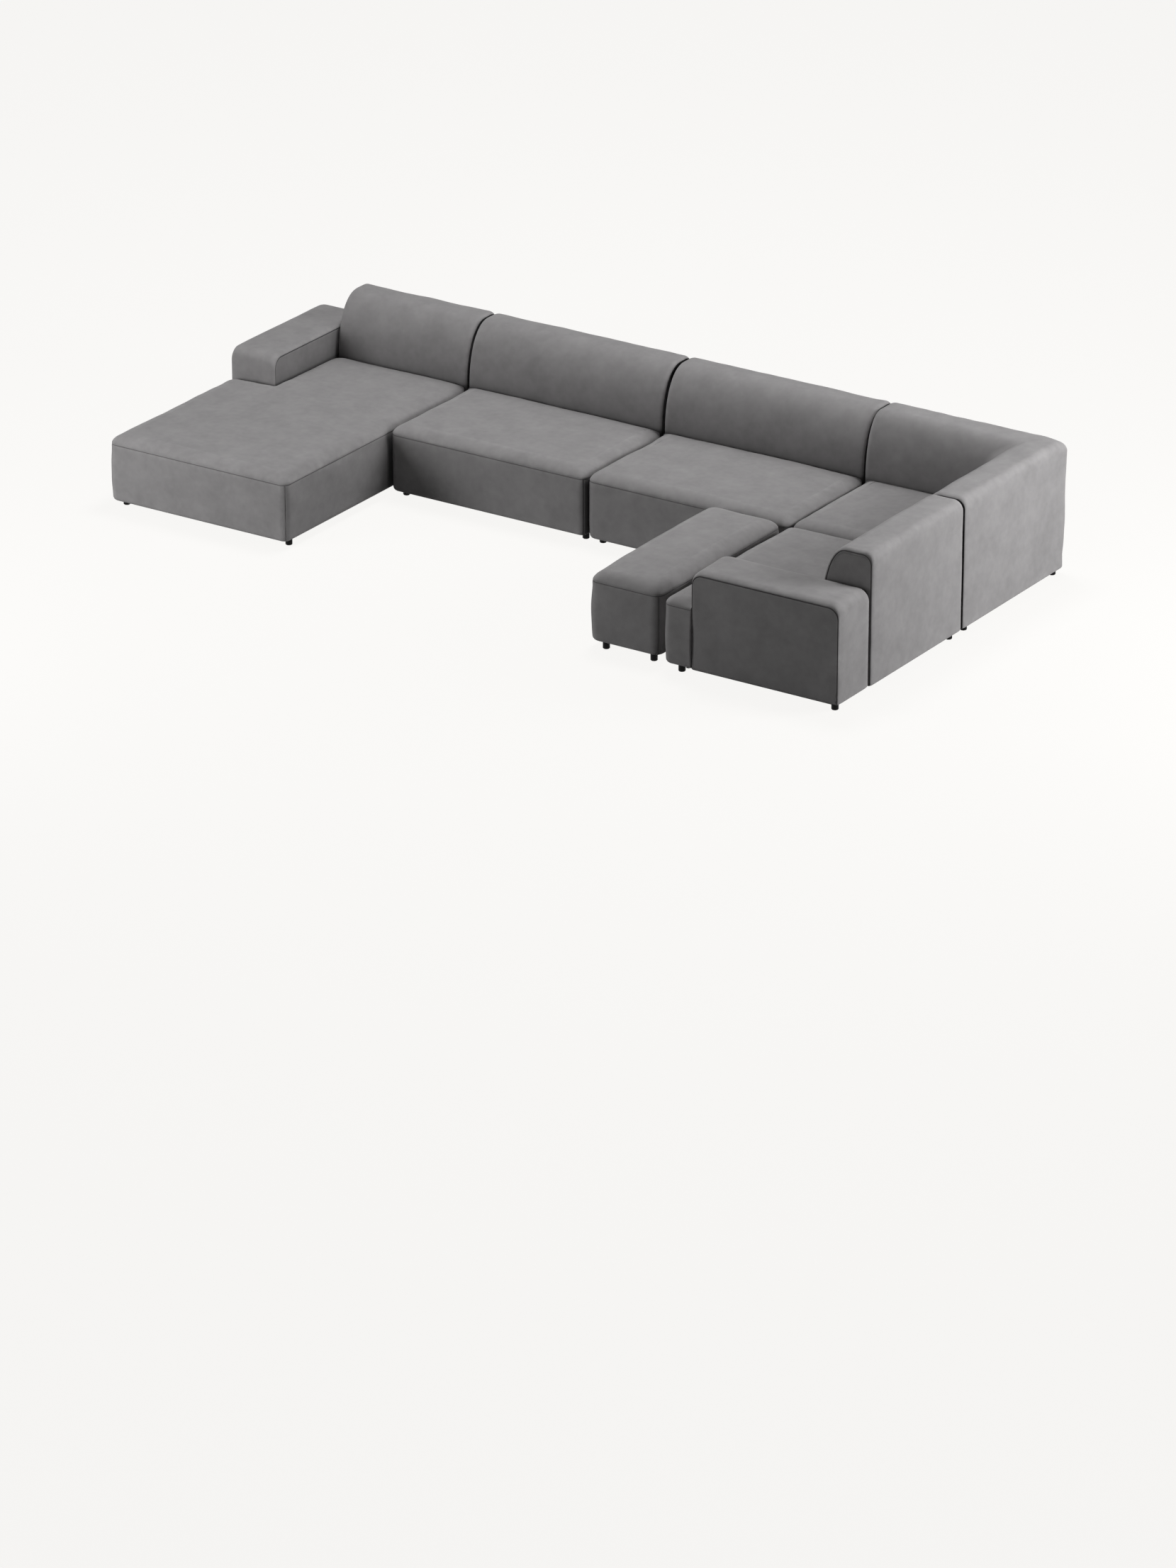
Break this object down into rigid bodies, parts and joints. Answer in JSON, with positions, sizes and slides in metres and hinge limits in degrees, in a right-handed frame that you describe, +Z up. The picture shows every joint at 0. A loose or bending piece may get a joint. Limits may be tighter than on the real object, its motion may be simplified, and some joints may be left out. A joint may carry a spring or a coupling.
{
  "type": "modular corner sofa",
  "caption": "Low U-shaped modular sofa of separate upholstered modules, with a chaise, plain seats, a corner, an end seat and a loose narrow ottoman, all on short black feet",
  "frame": {"origin": "On the floor, under the middle of the whole sofa seen from above", "axes": "+X from the chaise towards the corner, +Y from the front towards the rear, +Z up"},
  "size_m": [4.745, 2.267, 0.751],
  "materials": {
    "fabric": "short brushed pile, matt, warm grey",
    "timber": "sawn softwood, unfinished",
    "webbing": "woven elastic belt, matt black",
    "foot_plastic": "moulded, satin black",
    "plate_steel": "zinc plated"
  },
  "bodies": {
    "chaise": {"chaise_arm_frame": "timber", "chaise_arm_upholstery": "fabric", "chaise_back_frame": "timber", "chaise_back_upholstery": "fabric", "chaise_base_frame": "timber", "chaise_foot_front_left": "foot_plastic", "chaise_foot_front_right": "foot_plastic", "chaise_foot_rear_left": "foot_plastic", "chaise_foot_rear_right": "foot_plastic", "chaise_upholstery": "fabric", "chaise_webbing": "webbing"},
    "seat_1": {"seat_1_back_frame": "timber", "seat_1_back_upholstery": "fabric", "seat_1_base_frame": "timber", "seat_1_foot_front_left": "foot_plastic", "seat_1_foot_front_right": "foot_plastic", "seat_1_foot_rear_left": "foot_plastic", "seat_1_foot_rear_right": "foot_plastic", "seat_1_upholstery": "fabric", "seat_1_webbing": "webbing", "joining_plate_chaise": "plate_steel", "joining_plate_seat_2": "plate_steel"},
    "seat_2": {"seat_2_back_frame": "timber", "seat_2_back_upholstery": "fabric", "seat_2_base_frame": "timber", "seat_2_foot_front_left": "foot_plastic", "seat_2_foot_front_right": "foot_plastic", "seat_2_foot_rear_left": "foot_plastic", "seat_2_foot_rear_right": "foot_plastic", "seat_2_upholstery": "fabric", "seat_2_webbing": "webbing", "joining_plate_corner": "plate_steel"},
    "corner": {"corner_back_frame": "timber", "corner_back_upholstery": "fabric", "corner_base_frame": "timber", "corner_foot_front_left": "foot_plastic", "corner_foot_front_right": "foot_plastic", "corner_foot_rear_left": "foot_plastic", "corner_foot_rear_right": "foot_plastic", "corner_upholstery": "fabric", "corner_webbing": "webbing", "joining_plate_end_seat": "plate_steel"},
    "end_seat": {"end_seat_arm_frame": "timber", "end_seat_arm_upholstery": "fabric", "end_seat_back_frame": "timber", "end_seat_back_upholstery": "fabric", "end_seat_base_frame": "timber", "end_seat_foot_front_left": "foot_plastic", "end_seat_foot_front_right": "foot_plastic", "end_seat_foot_rear_left": "foot_plastic", "end_seat_foot_rear_right": "foot_plastic", "end_seat_upholstery": "fabric", "end_seat_webbing": "webbing"},
    "ottoman": {"ottoman_base_frame": "timber", "ottoman_foot_front_left": "foot_plastic", "ottoman_foot_front_right": "foot_plastic", "ottoman_foot_rear_left": "foot_plastic", "ottoman_foot_rear_right": "foot_plastic", "ottoman_upholstery": "fabric", "ottoman_webbing": "webbing"}
  },
  "joints": [
    {"name": "chaise_slide", "type": "slide", "parent": "seat_1", "child": "chaise", "axis": [-1, 0, 0], "range_m": [0, 0.3]},
    {"name": "seat_2_slide", "type": "slide", "parent": "seat_1", "child": "seat_2", "axis": [1, 0, 0], "range_m": [0, 0.3]},
    {"name": "corner_slide", "type": "slide", "parent": "seat_2", "child": "corner", "axis": [1, 0, 0], "range_m": [0, 0.3]},
    {"name": "end_seat_slide", "type": "slide", "parent": "corner", "child": "end_seat", "axis": [0, -1, 0], "range_m": [0, 0.3]},
    {"name": "ottoman_slide", "type": "slide", "parent": "seat_1", "child": "ottoman", "axis": [-1, 0, 0], "range_m": [0, 2]}
  ]
}
